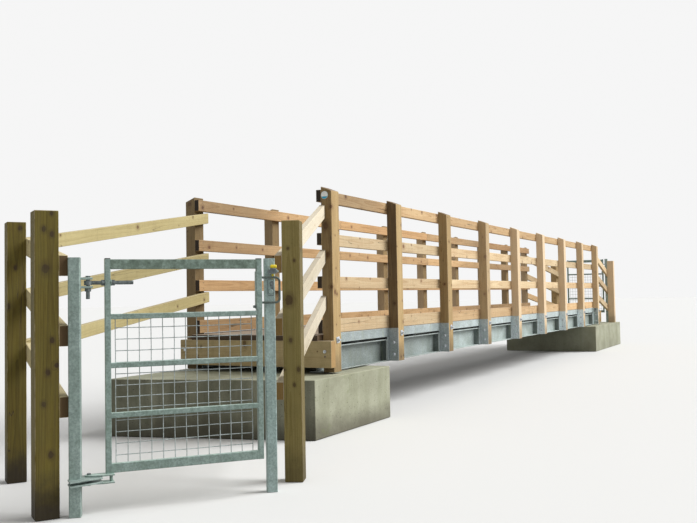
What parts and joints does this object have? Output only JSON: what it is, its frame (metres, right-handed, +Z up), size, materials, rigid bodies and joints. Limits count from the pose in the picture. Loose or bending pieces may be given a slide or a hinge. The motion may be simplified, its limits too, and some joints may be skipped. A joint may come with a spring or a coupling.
{
  "type": "footbridge",
  "caption": "Timber footbridge with railed parapets on galvanised steel beams and concrete abutments, with railed approaches and a swinging mesh gate at each end.",
  "frame": {"origin": "on the ground, under the middle of the whole", "axes": "+X along the bridge from the near end, the one with the skewed approach, to the far end; +Y to the left; +Z up"},
  "size_m": [15.532, 2.3719, 2.011],
  "materials": {
    "concrete": "rough",
    "parapet_timber": "rough",
    "treated_timber": "rough",
    "approach_rail_timber": "rough",
    "bridge_steel": "matte",
    "gate_steel": "matte",
    "latch_yellow": "gloss",
    "waymark": "gloss",
    "bearing_rubber": "matte"
  },
  "bodies": {
    "bridge": {"beam_diaphragms": "bridge_steel", "bearing_pads": "bearing_rubber", "deck": "parapet_timber", "deck_cross_bearers": "bridge_steel", "far_abutment": "concrete", "far_end_beam": "treated_timber", "far_gate_hanging_post": "gate_steel", "far_gate_latch": "gate_steel", "far_gate_latch_grip": "latch_yellow", "far_gate_latch_post": "gate_steel", "far_left_wing_post": "treated_timber", "far_left_wing_rails": "approach_rail_timber", "far_right_wing_post": "treated_timber", "far_right_wing_rails": "approach_rail_timber", "left_edge_channel": "bridge_steel", "left_kick_rail": "parapet_timber", "left_lower_rail": "parapet_timber", "left_main_beam": "bridge_steel", "left_parapet_posts": "parapet_timber", "left_post_brackets": "bridge_steel", "left_top_rail": "parapet_timber", "left_upper_rail": "parapet_timber", "near_abutment": "concrete", "near_end_beam": "treated_timber", "near_gate_hanging_post": "gate_steel", "near_gate_latch": "gate_steel", "near_gate_latch_grip": "latch_yellow", "near_gate_latch_post": "gate_steel", "near_left_gate_side_post": "treated_timber", "near_left_gate_side_rails": "approach_rail_timber", "near_left_middle_post": "treated_timber", "near_left_wing_rails": "approach_rail_timber", "near_right_wing_post": "treated_timber", "near_right_wing_rails": "approach_rail_timber", "right_edge_channel": "bridge_steel", "right_kick_rail": "parapet_timber", "right_lower_rail": "parapet_timber", "right_main_beam": "bridge_steel", "right_parapet_posts": "parapet_timber", "right_post_brackets": "bridge_steel", "right_top_rail": "parapet_timber", "right_upper_rail": "parapet_timber", "waymark_disc": "waymark"},
    "near_gate": {"near_gate_frame": "gate_steel", "near_gate_mesh": "gate_steel", "near_gate_handle": "gate_steel"},
    "far_gate": {"far_gate_frame": "gate_steel", "far_gate_mesh": "gate_steel", "far_gate_handle": "gate_steel"}
  },
  "joints": [
    {"name": "near_gate_hinge", "type": "hinge", "parent": "bridge", "child": "near_gate", "pos_m": [-7.53805, -0.51504, 1.1895], "axis": [0, 0, -1], "range_deg": [0, 90]},
    {"name": "far_gate_hinge", "type": "hinge", "parent": "bridge", "child": "far_gate", "pos_m": [7.67095, 0.62596, 1.6495], "axis": [0, 0, 1], "range_deg": [0, 90]}
  ]
}
